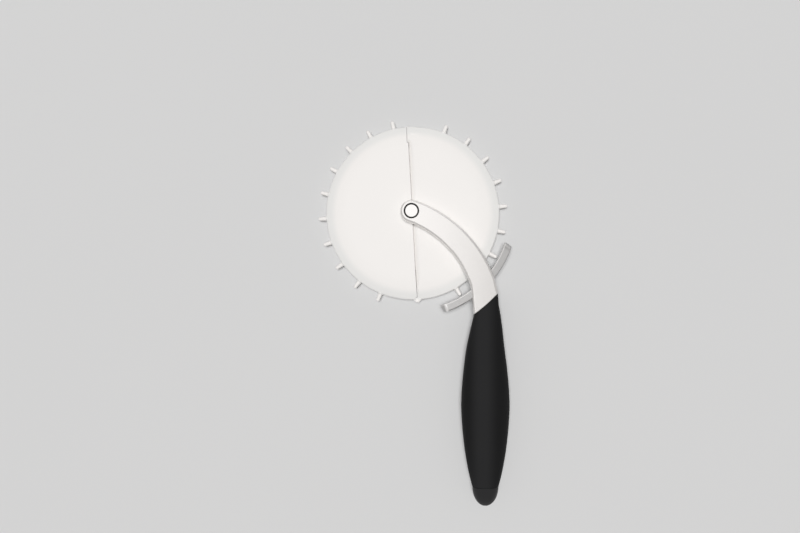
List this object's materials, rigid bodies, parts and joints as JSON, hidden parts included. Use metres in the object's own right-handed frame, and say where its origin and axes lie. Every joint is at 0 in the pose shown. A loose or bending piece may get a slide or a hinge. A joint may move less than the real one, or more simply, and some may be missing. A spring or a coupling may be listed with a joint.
{
  "type": "pizza wheel",
  "caption": "Hand-held pizza wheel with a round blade on a one-sided curved arm, finger guard, soft handle, and a hinged blade cover whose rim pins prick dough.",
  "frame": {"origin": "on the axle's axis, at the back face of the hub cap, which is the plane that the tool lies on", "axes": "+Z along the axle towards the tool's front, +Y along the handle from its tail towards the wheel, +X towards the handle's side of the wheel"},
  "size_m": [0.1126, 0.2231, 0.0212],
  "materials": {
    "blade_steel": "ground stainless steel with circular grinding lines and a bright bevel",
    "axle_steel": "satin stainless steel",
    "bush_nylon": "black nylon, semi-matt",
    "arm_metal": "bead-blasted satin plating on a zinc die casting",
    "guard_steel": "brushed satin metal with polished edges",
    "core_plastic": "black moulded plastic with a slight sheen",
    "grip_rubber": "black soft-touch elastomer, matt",
    "docker_plastic": "ivory-white moulded plastic, satin"
  },
  "bodies": {
    "handle": {"arm": "arm_metal", "finger_guard": "guard_steel", "guard_screws": "axle_steel", "handle_core": "core_plastic", "grip": "grip_rubber", "tang_pin": "axle_steel", "axle_bush": "bush_nylon", "thrust_washer": "bush_nylon"},
    "wheel": {"blade": "blade_steel", "axle_pin": "axle_steel", "hub_collar": "axle_steel", "hub_cap": "axle_steel"},
    "docker": {"docker_right": "docker_plastic", "hinge_pin": "axle_steel"},
    "docker_gate": {"docker_left": "docker_plastic"}
  },
  "joints": [
    {"name": "blade_spin", "type": "hinge", "parent": "handle", "child": "wheel", "pos_m": [0, 0, 0.00475], "axis": [0, 0, 1], "continuous": true},
    {"name": "docker_roll", "type": "hinge", "parent": "handle", "child": "docker", "pos_m": [0, 0, 0.00475], "axis": [0, 0, 1], "continuous": true},
    {"name": "docker_swing", "type": "hinge", "parent": "docker", "child": "docker_gate", "pos_m": [0.00274, -0.05063, 0.00475], "axis": [0, 0, 1], "range_deg": [0, 120]}
  ]
}
